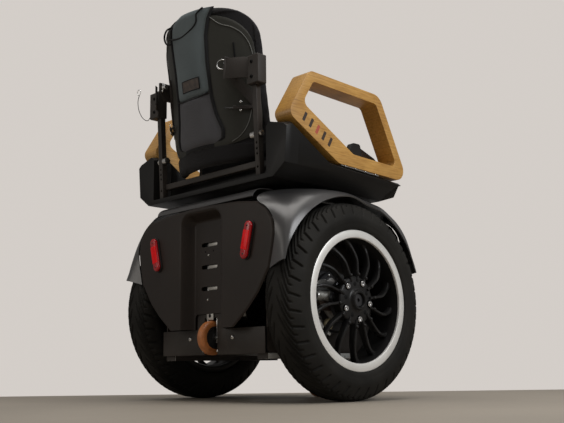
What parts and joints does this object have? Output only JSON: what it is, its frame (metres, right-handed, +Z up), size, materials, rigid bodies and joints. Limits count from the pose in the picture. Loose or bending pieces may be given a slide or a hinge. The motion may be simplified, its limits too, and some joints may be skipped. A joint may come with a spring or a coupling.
{
  "type": "self-balancing mobility chair",
  "caption": "Two-wheeled self-balancing powered chair: box chassis between broad scooter wheels, drop-down roller supports, moulded seat with wooden loop armrests and a contour back on posts.",
  "frame": {"origin": "on the floor under the middle of the chair's bounding box; the wheel axle is 0.0052 m behind it", "axes": "+Z up, +Y the way the sitter faces, +X the sitter's right"},
  "size_m": [0.69, 0.6317, 1.052],
  "materials": {
    "black_metal": "satin",
    "shell_black": "satin",
    "fender_grey": "satin",
    "black_anodised": "satin",
    "cast_black": "satin",
    "bare_aluminium": "satin",
    "steel_parts": "satin",
    "battery_case": "satin",
    "motor_case": "satin",
    "tyre_rubber": "matte",
    "roller_tread": "satin",
    "black_plastic": "satin",
    "lever_plastic": "gloss",
    "armrest_wood": "satin",
    "lamp_red": "gloss",
    "seat_moulding": "satin",
    "back_moulding": "satin",
    "black_fabric": "matte",
    "blue_grey_fabric": "matte"
  },
  "bodies": {
    "chassis": {"belly_plate": "bare_aluminium", "chassis_deck": "bare_aluminium", "battery_pack": "battery_case", "motor_controller": "bare_aluminium", "balance_sensor": "black_plastic", "front_end_plate": "black_metal", "rear_end_plate": "black_metal", "left_side_plate": "black_metal", "right_side_plate": "black_metal", "front_shell": "shell_black", "rear_shell": "shell_black", "top_cover": "black_plastic", "left_fender": "fender_grey", "right_fender": "fender_grey", "left_tail_lamp": "lamp_red", "right_tail_lamp": "lamp_red", "left_gearbox": "motor_case", "right_gearbox": "motor_case", "left_drive_motor": "motor_case", "right_drive_motor": "motor_case", "footrest_frame": "black_metal", "seat_pedestal": "cast_black", "seat_frame": "steel_parts", "seat_tub": "seat_moulding", "seat_cushion": "black_fabric", "left_armrest_hinge": "steel_parts", "right_armrest_hinge": "steel_parts", "left_back_post": "black_anodised", "right_back_post": "black_anodised", "back_cross_bar": "black_anodised", "left_post_knob": "steel_parts", "right_post_knob": "steel_parts", "left_post_clamp": "black_anodised", "right_post_clamp": "black_anodised"},
    "left_wheel": {"left_rim": "cast_black", "left_tyre": "tyre_rubber", "left_drive_flange": "steel_parts"},
    "right_wheel": {"right_rim": "cast_black", "right_tyre": "tyre_rubber", "right_drive_flange": "steel_parts"},
    "rear_support": {"rear_support_leg": "steel_parts"},
    "rear_roller": {"rear_roller_hub": "black_plastic", "rear_roller_tread": "roller_tread"},
    "front_support": {"front_support_leg": "steel_parts"},
    "front_roller": {"front_roller_hub": "black_plastic", "front_roller_tread": "roller_tread"},
    "footplate": {"footplate": "bare_aluminium"},
    "left_arm": {"left_armrest": "armrest_wood"},
    "right_arm": {"right_armrest": "armrest_wood", "control_bracket": "black_plastic"},
    "control_lever": {"control_lever": "lever_plastic"},
    "backrest": {"back_shell": "back_moulding", "back_cushion": "black_fabric", "back_centre_panel": "blue_grey_fabric", "left_back_arm": "black_anodised", "right_back_arm": "black_anodised"},
    "left_pin": {"left_release_pin": "steel_parts"},
    "right_pin": {"right_release_pin": "steel_parts"},
    "left_lever": {"left_release_lever": "black_metal"},
    "right_lever": {"right_release_lever": "black_metal"}
  },
  "joints": [
    {"name": "left_wheel_spin", "type": "hinge", "parent": "chassis", "child": "left_wheel", "pos_m": [-0.289, -0.0052, 0.25], "axis": [1, 0, 0], "continuous": true},
    {"name": "right_wheel_spin", "type": "hinge", "parent": "chassis", "child": "right_wheel", "pos_m": [0.289, -0.0052, 0.25], "axis": [1, 0, 0], "continuous": true},
    {"name": "rear_support_slide", "type": "slide", "parent": "chassis", "child": "rear_support", "axis": [0, 0, -1], "range_m": [0, 0.119]},
    {"name": "rear_roller_spin", "type": "hinge", "parent": "rear_support", "child": "rear_roller", "pos_m": [0, -0.2052, 0.164], "axis": [1, 0, 0], "continuous": true},
    {"name": "front_support_slide", "type": "slide", "parent": "chassis", "child": "front_support", "axis": [0, 0, 1], "range_m": [0, 0.119]},
    {"name": "front_roller_spin", "type": "hinge", "parent": "front_support", "child": "front_roller", "pos_m": [0, 0.1948, 0.045], "axis": [1, 0, 0], "continuous": true},
    {"name": "footplate_fold", "type": "hinge", "parent": "chassis", "child": "footplate", "pos_m": [0, 0.2998, 0.1], "axis": [-1, 0, 0], "range_deg": [0, 90]},
    {"name": "right_armrest_fold", "type": "hinge", "parent": "chassis", "child": "right_arm", "pos_m": [0.31, 0.0398, 0.59912], "axis": [0, 0.9991, -0.0435], "range_deg": [0, 95]},
    {"name": "left_armrest_fold", "type": "hinge", "parent": "chassis", "child": "left_arm", "pos_m": [-0.31, 0.0398, 0.59912], "axis": [0, -0.9991, 0.0435], "range_deg": [0, 95]},
    {"name": "control_lever_tilt", "type": "hinge", "parent": "right_arm", "child": "control_lever", "pos_m": [0.2333, 0.0988, 0.676], "axis": [1, 0, 0], "range_deg": [-10, 10], "stiffness_Nm_per_rad": 1.2},
    {"name": "back_recline", "type": "hinge", "parent": "chassis", "child": "backrest", "pos_m": [0, -0.2692, 0.866], "axis": [1, 0, 0], "range_deg": [0, 4]},
    {"name": "right_pin_pull", "type": "slide", "parent": "backrest", "child": "right_pin", "axis": [-1, 0, 0], "range_m": [0, 0.007], "stiffness_N_per_m": 400, "springref_m": -0.004},
    {"name": "left_pin_pull", "type": "slide", "parent": "backrest", "child": "left_pin", "axis": [1, 0, 0], "range_m": [0, 0.007], "stiffness_N_per_m": 400, "springref_m": -0.004},
    {"name": "right_lever_tilt", "type": "hinge", "parent": "backrest", "child": "right_lever", "pos_m": [0.17633, -0.20701, 0.75], "axis": [-0.6756, 0.7373, 0], "range_deg": [0, 14], "stiffness_Nm_per_rad": 0.3, "springref_deg": -5.73},
    {"name": "left_lever_tilt", "type": "hinge", "parent": "backrest", "child": "left_lever", "pos_m": [-0.17633, -0.20701, 0.75], "axis": [-0.6756, -0.7373, 0], "range_deg": [0, 14], "stiffness_Nm_per_rad": 0.3, "springref_deg": -5.73}
  ]
}
